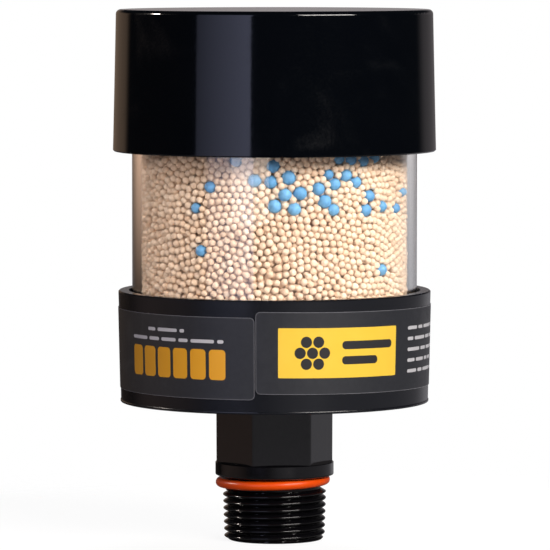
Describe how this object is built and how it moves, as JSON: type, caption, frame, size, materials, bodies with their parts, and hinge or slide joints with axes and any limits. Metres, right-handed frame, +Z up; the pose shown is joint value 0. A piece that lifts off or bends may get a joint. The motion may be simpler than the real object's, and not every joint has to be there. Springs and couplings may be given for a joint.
{
  "type": "silica gel breather",
  "caption": "Desiccant breather: clear tube of silica gel beads between a black cap and base cup, with foam and filter discs, a standpipe, and a hexagon stud with taper pipe thread and O-ring.",
  "frame": {"origin": "centre of the stud's flat end, on the axis", "axes": "+Z up along the axis from the stud to the cap, -Y towards the picture's camera"},
  "size_m": [0.1044, 0.1044, 0.1718],
  "materials": {
    "cap_plastic": "gloss black moulded ABS",
    "clear_plastic": "clear moulded polycarbonate",
    "cup_plastic": "gloss black moulded ABS",
    "label_film": "printed satin vinyl film",
    "stud_nylon": "matte black moulded nylon",
    "seal_rubber": "smooth orange silicone rubber",
    "pipe_plastic": "extruded white PVC",
    "foam": "open-cell polyurethane foam",
    "filter_felt": "needled polyester felt",
    "silica_beads": "beige silica gel beads",
    "blue_beads": "blue indicating silica gel beads"
  },
  "bodies": {
    "root": {"top_cap": "cap_plastic", "sight_tube": "clear_plastic", "base_cup": "cup_plastic", "label": "label_film", "threaded_stud": "stud_nylon", "o_ring": "seal_rubber", "standpipe": "pipe_plastic", "bottom_foam_pad": "foam", "bottom_filter_disc": "filter_felt", "desiccant_bed": "silica_beads", "indicator_beads": "blue_beads", "top_filter_disc": "filter_felt", "top_foam_pad": "foam"}
  },
  "joints": []
}
